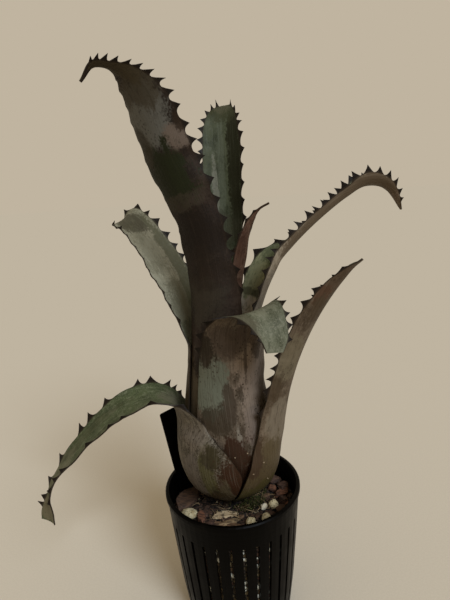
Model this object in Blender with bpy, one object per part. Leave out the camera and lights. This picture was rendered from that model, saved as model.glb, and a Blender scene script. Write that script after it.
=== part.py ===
"""A young spiny bromeliad in a slotted nursery pot, in metres, +Z up, origin under the middle of the pot."""

import math
import random

import bmesh
import bpy
import numpy as np
from mathutils import Matrix, Vector, noise

MM = 0.001
GAP = 0.3

# The pot, in millimetres
POT_HEIGHT = 78
RIM_RADIUS = 37.5
BAND_RADIUS = 36.8
BASE_RADIUS = 29.5
WALL = 1.5
POT_FLOOR = 1.8
LIP_HEIGHT = 2.2
SLOT_COUNT = 32
SLOT_WIDTH = 1.6
SLOT_BOTTOM, SLOT_TOP = 9, 64
DRAIN_COUNT = 8
DRAIN_FROM, DRAIN_TO = 14, 25

# The potting mix and the plant's foot in it
MIX_TOP = 65
MIX_RELIEF = 0.35
FOOT_BACK = 7
HOLE_RADIUS = 10.6
HOLE_BOTTOM = 50

# The tube that the leaf sheaths form: height above the surface, radius
TUBE = [
    (50, 7.6), (60, 8), (65, 9.2), (70, 13.5), (75, 19), (80, 23.6), (90, 27.3), (103, 28.5),
    (120, 27.1), (135, 24.6), (150, 22.3), (165, 20.8), (180, 19.4), (200, 17.5),
]
TUBE_UPRIGHT = 112
SHEATH_SPACING = 1.7
SHEATH_HEIGHTS = (66, 70, 75, 80, 88, 97, 106, 115, 124, 133, 142, 151, 160, 169)
MIDRIB_THICKNESS = 0.85
MARGIN_THICKNESS = 0.65
LEAF_ROUGHNESS = 0.55
PLAIN_ROW = 7
SPINE_HALF_BASE = 1.9
BLADE_COLUMNS = (0.45, 0.86, 1)

# The label
LABEL_WIDTH, LABEL_THICKNESS = 10, 0.9
LABEL_FOOT = (-23.2, 11.2, 45)
LABEL_HEAD = (-34.2, 13.2, 117)
LABEL_TURN = math.radians(37)

# Each leaf: the way it faces in degrees from the front, its layer counted inwards, the sheath as
# (height, half angle round the tube), and the blade as (reach, height, drift, half width, curl radius, turn).
# Spines: length of spined margin, pitch, height, hook towards the base as a share of the height.
LEAVES = {
    "leaf_lower_left": dict(
        azimuth=-78, layer=0,
        sheath=[(62, 70), (70, 73), (85, 79), (100, 73), (113, 52)],
        blade=[
            (26.9, 124, 0, 14, 22, 0), (30, 131, 0, 12, 22, -8), (38, 135, 0, 11.5, 25, -14),
            (50, 134, 0.8, 10.2, 25, -20), (61, 128.5, 1.1, 9, 22, -22), (73, 119, 0.8, 7.2, 18, -22),
            (85, 107, 0, 5.5, 12, -20), (93, 97, 0, 3, 8, -15), (97, 88, 0, 2.6, 8, -35),
            (99.5, 78, 0, 4.5, 12, -60), (100, 73, 0, 5, 12, -65),
        ],
        spines=(118, 11, 3.4, 0.3), colour=(0.20, 0.25, 0.17),
    ),
    "leaf_lower_right": dict(
        azimuth=66, layer=0,
        sheath=[(67, 65.5), (74, 67.8), (82, 59), (90, 54), (100, 47)],
        blade=[
            (29.8, 113, 0, 18.5, 24, 0), (33, 130, 0, 15.8, 19, 0), (38.3, 149, 0.6, 14, 16, 0),
            (45.5, 166.5, 0, 13.8, 13, 0), (54, 182, -0.6, 11.8, 11, 0), (62, 193.5, 0, 8, 8, 0),
            (67, 199.5, 0, 4, 5, 0), (70.5, 202.5, 0, 0.6, 4, 0),
        ],
        spines=(92, 12, 3.2, 0.5), colour=(0.23, 0.19, 0.14),
    ),
    "leaf_front_folded": dict(
        azimuth=27, layer=2,
        sheath=[(70, 64), (80, 68), (95, 68), (110, 69), (123, 70), (138, 70)],
        blade=[
            (20.8, 150, 0, 24, 20, 0), (21.8, 162, 0, 21.5, 21, 0), (23.4, 172, 0, 18.5, 28, 3),
            (27.5, 180, 0, 16.5, 55, 5), (33.5, 182, -1, 15, 70, 7), (39.5, 179, -1, 13.5, 60, 10),
            (43.5, 173, 0, 11.5, 50, 10), (45.5, 167.5, 1, 7, 40, 8),
        ],
        spines=(46, 7.5, 2.8, 0.2), colour=(0.24, 0.20, 0.18),
    ),
    "leaf_left": dict(
        azimuth=-120, layer=2,
        sheath=[(70, 58), (80, 60), (93, 60), (108, 60), (123, 58), (150, 50)],
        blade=[
            (19.6, 161, 0, 15, 18.5, -2), (21.5, 172, 0, 13, 18, -14), (25.5, 185, 0, 12, 20, -26),
            (33.5, 200, 0, 11.5, 22, -30), (42, 213, 0.7, 10.4, 22, -30), (50, 221.5, 0.7, 10.3, 24, -30),
            (56, 224.5, 0.5, 9.8, 24, -30), (60, 221, 0, 3.5, 16, -30),
        ],
        spines=(74, 8.5, 3, 0.5), colour=(0.24, 0.26, 0.22),
    ),
    "leaf_tall_front": dict(
        azimuth=-30, layer=3,
        sheath=[(72.5, 64), (82, 68), (95, 70), (110, 74), (130, 76), (150, 76), (170, 76)],
        blade=[
            (14.2, 190, 1, 17.5, 14.5, 0), (14.8, 206, -0.2, 14.2, 14.5, 0), (17, 221, -1.2, 13.8, 15, 0),
            (21, 236, -4.5, 14, 16, 0), (26, 252, -8.5, 14, 17, 0), (31, 266, -9.5, 12.5, 18, 0),
            (37, 277, -10, 9.5, 18, 0), (43, 283.5, -11, 5.6, 14, 0), (48.5, 287, -13.5, 2.4, 8, 0),
            (53, 286, -16.5, 1.9, 6, 0), (57, 279, -20, 0.6, 4, 0),
        ],
        spines=(123, 10, 3.6, 0.4), colour=(0.13, 0.10, 0.09),
    ),
    "leaf_arching_right": dict(
        azimuth=100, layer=4,
        sheath=[(75, 66), (84, 68), (97, 66), (110, 62), (130, 56), (150, 52)],
        blade=[
            (18.2, 164, 0, 14.5, 16, 4), (22, 177, 1.5, 16, 17, 8), (27, 189, 2.3, 16.5, 16, 13),
            (33, 198.5, 2.3, 14, 12, 10), (40.5, 206.5, 0.3, 9, 8, -8), (50, 215, 0, 6.4, 5.5, -17),
            (60, 222.5, 0, 6.2, 5.5, -17), (71, 229.5, 0, 7, 6, -12), (81, 234, 0, 9.3, 7.2, -5),
            (90, 233, 0, 7, 6, 0), (97, 227.5, 0, 3.5, 4, 0), (101, 220.5, 0, 0.8, 3, 0),
        ],
        spines=(116, 10, 3.2, 0.5), colour=(0.22, 0.20, 0.15),
    ),
    "leaf_upright_back": dict(
        azimuth=166, layer=5,
        sheath=[(78, 62), (88, 64), (100, 66), (115, 66), (135, 66), (168, 62)],
        blade=[
            (13.2, 184, 0, 12, 12.5, 0), (17.5, 198, -0.4, 11.5, 13, 0), (22.5, 217, -0.8, 11.3, 15, 0),
            (26, 238, -0.8, 11.3, 15, 0), (29, 258, -0.5, 11, 18, 0), (32, 270, 0, 9.6, 22, 0),
            (36, 277.5, 0, 7, 24, 0), (41, 281, 0, 3.4, 22, 0), (45, 281, 0, 1, 20, 0),
        ],
        spines=(80, 9, 2.4, 0.3), colour=(0.12, 0.16, 0.11),
    ),
    "leaf_heart": dict(
        azimuth=55, layer=6,
        sheath=[(88, 58), (96, 62), (110, 62), (130, 62), (150, 62)],
        blade=[
            (9.8, 168, 0, 8.8, 9, 0), (11.2, 187, 0.6, 8.6, 10, 0), (14.3, 203, 1.8, 5.8, 10, 0),
            (17.8, 214, 1, 4.8, 9, 0), (21, 222, 1, 2.3, 6, 0), (24.5, 226.5, 2, 1, 3, 0),
            (29.5, 229, 3, 0.6, 3, 0),
        ],
        spines=(30, 8, 2, 0.3), colour=(0.17, 0.07, 0.06),
    ),
}

# Loose pieces on the mix: kind, where they lie (x, y), length, width, height, turn in degrees
LOOSE_PIECES = [
    ("pumice_stone", -24.5, -11, 9, 6.5, 5, -20),
    ("pumice_stone", 8, -20, 5.5, 4.5, 4, 30),
    ("pumice_stone", 16.5, -18.5, 6, 4.5, 4.5, 70),
    ("pumice_stone", 21.5, -8.5, 5.5, 4.5, 5, 10),
    ("pumice_stone", 16.5, 24.5, 5, 4, 4, 50),
    ("pumice_stone", -8, 30.5, 6, 5, 4, 0),
    ("bark_chip", 29, 6.5, 9, 7, 6.5, 80),
    ("bark_chip", 25, 14.5, 8, 7, 6, 30),
    ("bark_chip", 28, -4.5, 7, 6, 5, 120),
    ("bark_chip", -28.5, 1, 10, 7, 5, 95),
    ("bark_chip", -19.5, 21.5, 9, 7.5, 5.5, 40),
    ("bark_chip", -14.5, -20.5, 9, 6, 5, 65),
    ("bark_chip", 4.5, 30.5, 9, 6, 5, 10),
    ("bark_chip", -17, -10.5, 6, 4.5, 3.5, 120),
    ("coir_husk", -3.5, -17.5, 15, 5, 2.2, 8),
]
PIECE_LOOKS = {
    "pumice_stone": ((0.62, 0.56, 0.44), 0.9),
    "bark_chip": ((0.10, 0.055, 0.035), 0.85),
    "coir_husk": ((0.36, 0.26, 0.15), 0.9),
}


def clear_scene():
    for item in list(bpy.data.objects):
        bpy.data.objects.remove(item)


def material(name, colour, roughness, metallic=0.0):
    made = bpy.data.materials.new(name)
    made.use_nodes = True
    shader = made.node_tree.nodes["Principled BSDF"]
    shader.inputs["Base Color"].default_value = (*colour, 1)
    shader.inputs["Roughness"].default_value = roughness
    shader.inputs["Metallic"].default_value = metallic
    return made


def face_outwards(mesh):
    bmesh.ops.recalc_face_normals(mesh, faces=mesh.faces)
    if mesh.calc_volume(signed=True) < 0:
        bmesh.ops.reverse_faces(mesh, faces=mesh.faces)


def finish(mesh, name, made_of, sharp=40):
    """Turns a bmesh in millimetres into an object in metres."""
    bmesh.ops.scale(mesh, vec=(MM, MM, MM), verts=mesh.verts)
    data = bpy.data.meshes.new(name)
    mesh.to_mesh(data)
    mesh.free()
    data.shade_smooth()
    data.set_sharp_from_angle(angle=math.radians(sharp))
    data.materials.append(made_of)
    made = bpy.data.objects.new(name, data)
    bpy.context.scene.collection.objects.link(made)
    return made


def turned(profile, steps):
    """A solid turned round Z from (radius, height) points that start and end on the axis, or on one another."""
    mesh = bmesh.new()
    verts = [mesh.verts.new((radius, 0, height)) for radius, height in profile]
    edges = [mesh.edges.new(pair) for pair in zip(verts, verts[1:])]
    bmesh.ops.spin(
        mesh, geom=verts + edges, cent=(0, 0, 0), axis=(0, 0, 1), angle=math.tau, steps=steps, use_merge=True
    )
    bmesh.ops.remove_doubles(mesh, verts=mesh.verts, dist=1e-4)
    face_outwards(mesh)
    return mesh


def cut(target, cutter):
    cutter.hide_render = True
    cutter.display_type = "WIRE"
    boolean = target.modifiers.new("cut by " + cutter.name, "BOOLEAN")
    boolean.operation = "DIFFERENCE"
    boolean.object = cutter


def pot_outer(height):
    """Outer radius of the pot below its lip."""
    return BASE_RADIUS + (BAND_RADIUS - BASE_RADIUS) * (height / (POT_HEIGHT - LIP_HEIGHT)) ** 0.8


def slot_cutter():
    """Upright slots all round the wall, and radial ones through the floor."""
    mesh = bmesh.new()
    height = SLOT_TOP - SLOT_BOTTOM
    depth = 14
    for i in range(SLOT_COUNT):
        turn = Matrix.Rotation(math.tau * (i + 0.5) / SLOT_COUNT, 4, "Z")
        place = Matrix.Translation((RIM_RADIUS - depth / 2 + 2, 0, SLOT_BOTTOM + height / 2))
        size = Matrix.Diagonal((depth, SLOT_WIDTH, height, 1))
        bmesh.ops.create_cube(mesh, size=1, matrix=turn @ place @ size)
    for i in range(DRAIN_COUNT):
        turn = Matrix.Rotation(math.tau * i / DRAIN_COUNT, 4, "Z")
        place = Matrix.Translation(((DRAIN_FROM + DRAIN_TO) / 2, 0, 0))
        size = Matrix.Diagonal((DRAIN_TO - DRAIN_FROM, SLOT_WIDTH * 1.5, POT_FLOOR * 4, 1))
        bmesh.ops.create_cube(mesh, size=1, matrix=turn @ place @ size)
    return finish(mesh, "slot_cutter", material("cutter", (0.5, 0.5, 0.5), 0.5))


def build_pot():
    under_lip = POT_HEIGHT - LIP_HEIGHT
    outer = [(BASE_RADIUS - 1, 0), (BASE_RADIUS, 1)]
    outer += [(pot_outer(z), z) for z in (22, 50, under_lip)]
    lip = [(RIM_RADIUS, under_lip), (RIM_RADIUS, POT_HEIGHT - 0.6), (RIM_RADIUS - 0.6, POT_HEIGHT)]
    lip += [(RIM_RADIUS - 2, POT_HEIGHT)]
    inner = [(pot_outer(z) - WALL, z) for z in (under_lip - 1, 50, 22, POT_FLOOR)]
    mesh = turned([(0, 0)] + outer + lip + inner + [(0, POT_FLOOR)], 64)
    pot = finish(mesh, "pot", material("black_plastic", (0.012, 0.012, 0.013), 0.4))
    cut(pot, slot_cutter())


def mix_height(x, y):
    """The mix's gently uneven surface."""
    return MIX_TOP + MIX_RELIEF * math.sin(0.31 * x + 1.3) * math.cos(0.27 * y)


def build_potting_mix():
    reach = [pot_outer(z) - WALL - GAP - 0.1 for z in (MIX_TOP, 50, 22)]
    rings = (reach[0], 31, 27, 23, 19, 15, 10, 5)
    profile = [(0, MIX_TOP)] + [(r, MIX_TOP) for r in reversed(rings)]
    profile += [(reach[1], 50), (reach[2], 22), (BASE_RADIUS - WALL - GAP - 0.6, POT_FLOOR + GAP)]
    mesh = turned(profile + [(0, POT_FLOOR + GAP)], 32)
    for vert in mesh.verts:
        if vert.co.z > MIX_TOP - 0.01:
            vert.co.z = mix_height(vert.co.x, vert.co.y)
    mix = finish(mesh, "potting_mix", material("bark_mix", (0.075, 0.045, 0.03), 0.95))

    hole = bmesh.new()
    depth = MIX_TOP + 5 - HOLE_BOTTOM
    place = Matrix.Translation((0, FOOT_BACK, HOLE_BOTTOM + depth / 2))
    bmesh.ops.create_cone(
        hole, segments=40, radius1=HOLE_RADIUS, radius2=HOLE_RADIUS, depth=depth, cap_ends=True, matrix=place
    )
    cut(mix, finish(hole, "foot_hole_cutter", material("cutter", (0.5, 0.5, 0.5), 0.5)))
    cut(mix, finish(label_mesh(GAP), "label_hole_cutter", material("cutter", (0.5, 0.5, 0.5), 0.5)))


def label_mesh(grow):
    """The label's plain strip, or, grown by a gap, the slot that it stands in."""
    foot, head = Vector(LABEL_FOOT), Vector(LABEL_HEAD)
    along = (head - foot).normalized()
    across = Vector((math.cos(LABEL_TURN), math.sin(LABEL_TURN), 0))
    across = (across - across.dot(along) * along).normalized()
    through = along.cross(across)
    frame = Matrix((across, through, along)).transposed().to_4x4()
    length = (head - foot).length + 2 * grow
    size = Matrix.Diagonal((LABEL_WIDTH + 2 * grow, LABEL_THICKNESS + 2 * grow, length, 1))
    mesh = bmesh.new()
    bmesh.ops.create_cube(mesh, size=1, matrix=Matrix.Translation((foot + head) / 2) @ frame @ size)
    if not grow:
        upright = [edge for edge in mesh.edges if edge.calc_length() < LABEL_THICKNESS + 0.01]
        bmesh.ops.bevel(
            mesh, geom=upright, offset=1, offset_type="OFFSET", affect="EDGES", segments=3, profile=0.5, material=-1
        )
    return mesh


def tube_radius(height, layer=0):
    heights, radii = zip(*TUBE)
    return float(np.interp(height, heights, radii)) - SHEATH_SPACING * layer


def tube_back(height):
    """How far the tube's middle lies behind the pot's: the plant leans forward from its foot."""
    rise = np.clip((height - MIX_TOP) / (TUBE_UPRIGHT - MIX_TOP), 0, 1)
    return FOOT_BACK * (1 - rise * rise * (3 - 2 * rise))


def build_stem():
    """The short stem inside the sheaths, which follows the foot of each one, and its root end in the mix."""
    profile = [(0, HOLE_BOTTOM + GAP), (5.5, HOLE_BOTTOM + GAP), (6.5, HOLE_BOTTOM + 3), (6.5, 60), (7, 63)]
    profile += [(7.6, 67), (8.5, 70), (9.5, 72.7), (10.5, 75.3), (11.2, 78), (13, 82), (14.6, 86)]
    profile += [(14.9, 88.5), (12.5, 92.5), (7, 95.5), (0, 96.4)]
    mesh = turned(profile, 24)
    for vert in mesh.verts:
        vert.co.y += tube_back(vert.co.z)
    finish(mesh, "stem", material("brown_stem", (0.16, 0.11, 0.06), 0.8))


def smooth_through(knots, values, at):
    """Cubic curves through the values at the knots, with the slope of their neighbours."""
    slope = np.gradient(values, knots, axis=0)
    i = np.clip(np.searchsorted(knots, at, side="right") - 1, 0, len(knots) - 2)
    span = (knots[i + 1] - knots[i])[:, None]
    x = (at - knots[i])[:, None] / span
    start = (2 * x**3 - 3 * x**2 + 1) * values[i] + (x**3 - 2 * x**2 + x) * span * slope[i]
    return start + (3 * x**2 - 2 * x**3) * values[i + 1] + (x**3 - x**2) * span * slope[i + 1]


def unit(rows):
    return rows / np.linalg.norm(rows, axis=1)[:, None]


def sheath_rows(layer, sheath):
    """Rows that wrap the tube, at heights that all the leaves share, so that one sheath nests in the next."""
    heights, angles = zip(*sheath)
    shared = [z for z in SHEATH_HEIGHTS if heights[0] + 2 < z < heights[-1] - 2]
    rows = []
    for z in [heights[0]] + shared + [heights[-1]]:
        radius = tube_radius(z, layer)
        rows.append((radius, z, 0, radius * math.radians(np.interp(z, heights, angles)), radius, 0))
    return rows


class Leaf:
    """The outer face of a leaf: s runs from its foot to its tip in millimetres, v from -1 to 1 across it."""

    SAMPLES = 500

    def __init__(self, azimuth, layer, sheath, blade, spines, colour):
        facing = math.radians(azimuth)
        out = np.array([math.sin(facing), -math.cos(facing), 0])
        side = np.array([math.cos(facing), math.sin(facing), 0])
        wrapped = sheath_rows(layer, sheath)
        rows = np.array(wrapped + blade, float)
        spots = rows[:, :1] * out + rows[:, 2:3] * side + rows[:, 1:2] * np.array([0, 0, 1])
        spots[:, 1] += [tube_back(z) for z in rows[:, 1]]
        knots = np.append(0, np.cumsum(np.linalg.norm(np.diff(spots, axis=0), axis=1)))
        self.length = knots[-1]
        self.sheath_knots = knots[: len(wrapped)]
        self.sheath_end, self.blade_start = knots[len(wrapped) - 1], knots[len(wrapped)]
        self.s = np.linspace(0, self.length, self.SAMPLES)
        self.path = smooth_through(knots, spots, self.s)
        self.half_width, self.curl, turn = smooth_through(knots, rows[:, 3:], self.s).T
        self.along = unit(np.gradient(self.path, self.s, axis=0))
        across = self.carried(side)
        inward = np.cross(self.along, across)
        inward *= np.sign(inward[0] @ -out)
        # Sections lie level in the sheath, so that sheaths nest, and square to the blade above it
        free = np.clip((self.s - self.sheath_end) / (self.blade_start - self.sheath_end), 0, 1)[:, None]
        free = free * free * (3 - 2 * free)
        across = unit(side * (1 - free) + across * free)
        inward = inward * free - out * (1 - free)
        inward = unit(inward - (inward * across).sum(1)[:, None] * across)
        turn = np.radians(turn)[:, None]
        self.across = np.cos(turn) * across + np.sin(turn) * inward
        self.inward = np.cos(turn) * inward - np.sin(turn) * across
        self.spines = self.spine_places(*spines)
        self.spine_height, self.spine_hook = spines[2:]
        self.colour = colour

    def carried(self, across):
        """The crosswise direction, carried up the path without spinning about it."""
        rows = []
        for along in self.along:
            across = across - across @ along * along
            across = across / np.linalg.norm(across)
            rows.append(across)
        return np.array(rows)

    def spine_places(self, spined, pitch, height, hook):
        """Where the spines stand: closer together towards the tip."""
        places = []
        s = self.length - spined
        while s < self.length - pitch / 2:
            places.append(s)
            s += pitch * (0.6 + 0.4 * (self.length - s) / spined)
        return places

    def point(self, s, v, push=0.0, shift=0.0, depth=0.0):
        """A point, pushed out past the margin, shifted towards the tip, and sunk in towards the inner face."""
        def read(values):
            return np.array([np.interp(s, self.s, column) for column in np.atleast_2d(values.T)])
        curl = read(self.curl)[0]
        angle = v * read(self.half_width)[0] / curl
        across, inward = read(self.across), read(self.inward)
        rim = (math.cos(angle) * across + math.sin(angle) * inward) * math.copysign(1, v)
        sunk = math.cos(angle) * inward - math.sin(angle) * across
        place = read(self.path) + curl * (math.sin(angle) * across + (1 - math.cos(angle)) * inward)
        return place + push * rim + shift * read(self.along) + depth * sunk


def leaf_rows(leaf):
    """(s, how far the margin is pushed out, how far it is shifted) for each row of the grid."""
    first = leaf.spines[0] - 3
    rows = [(s, 0, 0) for s in leaf.sheath_knots if s < first - 2]
    plain = np.linspace(rows[-1][0], first, max(1, round((first - rows[-1][0]) / PLAIN_ROW)) + 1)
    rows += [(s, 0, 0) for s in plain[1:]]
    for s in leaf.spines:
        left = leaf.length - s
        height = leaf.spine_height * min(1, 0.45 + left / 45)
        half_base = min(SPINE_HALF_BASE, left / 5)
        rows += [(s - half_base, 0, 0), (s, height, -leaf.spine_hook * height), (s + half_base, 0, 0)]
    return rows + [(leaf.length, 0, 0)]


def leaf_columns(leaf, s):
    """Places across the leaf: even round the sheath, and with a narrow margin strip where the spines stand."""
    spined = np.clip((s - leaf.sheath_end) / (leaf.blade_start - leaf.sheath_end), 0, 1)
    even = np.arange(1, len(BLADE_COLUMNS) + 1) / len(BLADE_COLUMNS)
    half = list((1 - spined) * even + spined * np.array(BLADE_COLUMNS))
    return [-v for v in reversed(half)] + [0] + half


def build_leaf(name, leaf, made_of):
    """A grid of triangles, extruded to the inner face and bent to the leaf, so both faces are split alike."""
    rows = leaf_rows(leaf)
    strips = len(leaf_columns(leaf, 0)) - 1
    mesh = bmesh.new()
    bmesh.ops.create_grid(mesh, x_segments=strips, y_segments=len(rows) - 1, size=1)
    bmesh.ops.triangulate(mesh, faces=mesh.faces)
    outer = list(mesh.verts)
    made = bmesh.ops.extrude_face_region(mesh, geom=mesh.faces[:], use_keep_orig=True)
    inner = [item for item in made["geom"] if isinstance(item, bmesh.types.BMVert)]
    for verts, is_inner in ((outer, False), (inner, True)):
        for vert in verts:
            s, push, shift = rows[round((vert.co.y + 1) / 2 * (len(rows) - 1))]
            v = leaf_columns(leaf, s)[round((vert.co.x + 1) / 2 * strips)]
            depth = MIDRIB_THICKNESS + (MARGIN_THICKNESS - MIDRIB_THICKNESS) * v * v
            at_margin = abs(v) == 1
            vert.co = leaf.point(s, v, push * at_margin, shift * at_margin, depth * is_inner)
    face_outwards(mesh)
    finish(mesh, name, made_of, sharp=60)


def build_loose_piece(name, kind, x, y, size, turn, made_of, seed):
    """A lumpy or splintery piece that rests on the mix."""
    random.seed(seed)
    offset = Vector([random.uniform(0, 50) for _ in range(3)])
    mesh = bmesh.new()
    bmesh.ops.create_icosphere(mesh, subdivisions=2, radius=0.5)
    for vert in mesh.verts:
        rough = 0.18 * noise.noise(vert.co * 3 + offset)
        vert.co *= 1 + rough
        if kind != "pumice_stone":
            # Bark and husk are flat-topped slabs with blunt ends
            vert.co.z = max(-0.36, min(0.36, vert.co.z))
            vert.co.x = max(-0.42, min(0.42, vert.co.x + 0.1 * noise.noise(vert.co * 5 - offset)))
    bmesh.ops.scale(mesh, vec=size, verts=mesh.verts)
    bmesh.ops.rotate(mesh, matrix=Matrix.Rotation(math.radians(turn), 3, "Z"), verts=mesh.verts)
    lowest = min(vert.co.z for vert in mesh.verts)
    ground = mix_height(x, y)
    bmesh.ops.translate(mesh, vec=(x, y, ground + MIX_RELIEF / 2 + GAP - lowest), verts=mesh.verts)
    finish(mesh, name, made_of, sharp=50)


def build_loose_pieces():
    looks = {kind: material(kind, *look) for kind, look in PIECE_LOOKS.items()}
    counts = {kind: 0 for kind in PIECE_LOOKS}
    for seed, (kind, x, y, length, width, height, turn) in enumerate(LOOSE_PIECES):
        counts[kind] += 1
        name = f"{kind}_{counts[kind]}"
        build_loose_piece(name, kind, x, y, (length, width, height), turn, looks[kind], seed)


def main():
    clear_scene()
    build_pot()
    build_potting_mix()
    build_stem()
    finish(label_mesh(0), "plant_label", material("black_label", (0.01, 0.01, 0.01), 0.6))
    build_loose_pieces()
    for name, design in LEAVES.items():
        leaf = Leaf(**design)
        build_leaf(name, leaf, material(name + "_skin", leaf.colour, LEAF_ROUGHNESS))


main()
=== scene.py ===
"""The finished look of a young spiny bromeliad in a slotted nursery pot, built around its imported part."""

import math
import random

import bmesh
import bpy
import numpy as np
from mathutils import Matrix, Vector, noise


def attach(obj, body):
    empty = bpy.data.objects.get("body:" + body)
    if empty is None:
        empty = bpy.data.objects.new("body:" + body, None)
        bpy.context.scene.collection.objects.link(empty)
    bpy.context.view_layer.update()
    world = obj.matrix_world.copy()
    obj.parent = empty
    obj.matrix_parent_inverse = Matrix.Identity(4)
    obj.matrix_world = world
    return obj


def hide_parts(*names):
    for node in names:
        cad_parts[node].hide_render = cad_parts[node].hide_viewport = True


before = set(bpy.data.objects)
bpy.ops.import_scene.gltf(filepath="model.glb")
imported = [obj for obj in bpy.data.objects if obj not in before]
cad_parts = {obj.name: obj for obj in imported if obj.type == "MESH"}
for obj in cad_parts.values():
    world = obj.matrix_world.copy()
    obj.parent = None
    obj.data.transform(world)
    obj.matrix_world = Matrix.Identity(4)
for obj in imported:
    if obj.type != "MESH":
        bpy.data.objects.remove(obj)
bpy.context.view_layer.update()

MM = 0.001
BODY = "root"

# The camera, fitted to the pot's rim and the tube of leaves: its place in metres, its lens in millimetres
CAMERA_PLACE = (0, -0.2235, 0.234)
CAMERA_YAW, CAMERA_PITCH, CAMERA_ROLL = (math.radians(angle) for angle in (0.74, 13.03, -3.96))
CAMERA_LENS = 27

# The light: a pale warm room all round and a soft cool sun, which look white together
SUN_FROM = (0.5, -0.8, 0.75)
SUN_STRENGTH = 2.7
SUN_WIDTH = math.radians(24)
SUN_COLOUR = (0.76, 0.86, 1)

# The pot and its mix, in millimetres, as in the part
POT_HEIGHT = 78
BAND_RADIUS = 36.8
BASE_RADIUS = 29.5
WALL = 1.5
POT_FLOOR = 1.8
LIP_HEIGHT = 2.2
MIX_TOP = 65
FOOT_BACK = 7

# The tube that the leaf sheaths form, and the leaves' sizes, as in the part
TUBE = [
    (50, 7.6), (60, 8), (65, 9.2), (70, 13.5), (75, 19), (80, 23.6), (90, 27.3), (103, 28.5),
    (120, 27.1), (135, 24.6), (150, 22.3), (165, 20.8), (180, 19.4), (200, 17.5),
]
TUBE_UPRIGHT = 112
SHEATH_SPACING = 1.7
SHEATH_HEIGHTS = (66, 70, 75, 80, 88, 97, 106, 115, 124, 133, 142, 151, 160, 169)
MIDRIB_THICKNESS = 0.85
MARGIN_THICKNESS = 0.65
TIP_THICKNESS = 0.12


def tone(red, green, blue):
    """A colour as a screen shows it, 0 to 255, as the linear values that a shader takes."""
    def linear(value):
        value /= 255
        return value / 12.92 if value <= 0.04045 else ((value + 0.055) / 1.055) ** 2.4
    return (linear(red), linear(green), linear(blue), 1)


ROOM_TONE = tone(192, 180, 160)
FLOOR_TONES = (tone(195, 185, 167), tone(199, 189, 171))
FLOOR_REACH = 30


class Number:
    """A socket of a finish, on which Python's operators add Math nodes."""

    def __init__(self, finish, socket):
        self.finish, self.socket = finish, socket

    def worked(self, operation, *values):
        return self.finish.node("Math", {"operation": operation}, values)

    def __add__(self, other):
        return self.worked("ADD", self, other)

    def __sub__(self, other):
        return self.worked("SUBTRACT", self, other)

    def __rsub__(self, other):
        return self.worked("SUBTRACT", other, self)

    def __mul__(self, other):
        return self.worked("MULTIPLY", self, other)

    __radd__ = __add__
    __rmul__ = __mul__


class Finish:
    """A material with one Principled shader, worked out by nodes that are added as expressions. Its patterns
    follow the object's own coordinates, in metres, or else the places that an attribute of its mesh gives."""

    def __init__(self, name, specular, attribute=None):
        self.material = bpy.data.materials.new(name)
        self.material.use_nodes = True
        self.tree = self.material.node_tree
        self.shader = self.tree.nodes["Principled BSDF"]
        self.shader.inputs["Specular IOR Level"].default_value = specular
        if attribute:
            self.place = self.node("Attribute", {"attribute_name": attribute}, output="Vector")
        else:
            self.place = self.node("TexCoord", {}, output="Object")

    def node(self, kind, settings, inputs=(), output=0):
        """Adds a node: its settings first, then the values or links of its inputs, and gives one output."""
        made = self.tree.nodes.new("ShaderNode" + kind)
        for key, value in settings.items():
            if key == "stops":
                self.set_stops(made.color_ramp, value)
            else:
                setattr(made, key, value)
        for key, value in inputs.items() if isinstance(inputs, dict) else enumerate(inputs):
            self.feed(made.inputs[key], value)
        return Number(self, made.outputs[output])

    def set_stops(self, ramp, stops):
        while len(ramp.elements) < len(stops):
            ramp.elements.new(1)
        for element, (position, colour) in zip(ramp.elements, stops):
            element.position, element.color = position, colour

    def feed(self, socket, value):
        if isinstance(value, Number):
            self.tree.links.new(value.socket, socket)
        else:
            socket.default_value = value

    def vector(self, operation, *values):
        return self.node("VectorMath", {"operation": operation}, values)

    def length(self, value):
        return self.node("VectorMath", {"operation": "LENGTH"}, [value], output="Value")

    def coordinate(self, axis):
        """The place's X, Y or Z."""
        return self.node("SeparateXYZ", {}, [self.place], output=axis)

    def spread(self, scale, seed):
        """The place scaled, and moved along by the seed."""
        return self.vector("MULTIPLY_ADD", self.place, scale, (seed, seed * 1.7, seed * 0.6))

    def cloud(self, scale, detail, seed=0.0, warp=0.0):
        """Noise from 0 to 1, with a scale for each direction."""
        inputs = {"Vector": self.spread(scale, seed), "Scale": 1, "Detail": detail, "Distortion": warp}
        return self.node("TexNoise", {}, inputs)

    def cells(self, scale, seed=0.0, feature="F1", output="Distance"):
        """Cells with a scale for each direction: the distance to their middles, or another output."""
        inputs = {"Vector": self.spread(scale, seed), "Scale": 1}
        return self.node("TexVoronoi", {"feature": feature}, inputs, output)

    def rise(self, value, low, high, least=0.0, most=1.0):
        """A smooth step from least to most as the value goes from low to high."""
        settings = {"interpolation_type": "SMOOTHSTEP"}
        return self.node("MapRange", settings, dict(enumerate((value, low, high, least, most))))

    def blend(self, first, second, share):
        """Two colours mixed by a share of the second."""
        return self.node("Mix", {"data_type": "RGBA"}, {0: share, 6: first, 7: second}, output=2)

    def done(self, colour, roughness, height=None, depth=0.1):
        """Feeds the shader. A height of 1 stands as high as the depth, in millimetres."""
        self.feed(self.shader.inputs["Base Color"], colour)
        self.feed(self.shader.inputs["Roughness"], roughness)
        if height is not None:
            inputs = {"Strength": 1, "Distance": depth * MM, "Height": height}
            self.feed(self.shader.inputs["Normal"], self.node("Bump", {}, inputs))
        return self.material


def face_outwards(mesh):
    """Points the faces outwards, also where all of them agreed on inwards."""
    bmesh.ops.recalc_face_normals(mesh, faces=mesh.faces)
    if mesh.calc_volume(signed=True) < 0:
        bmesh.ops.reverse_faces(mesh, faces=mesh.faces)


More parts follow.
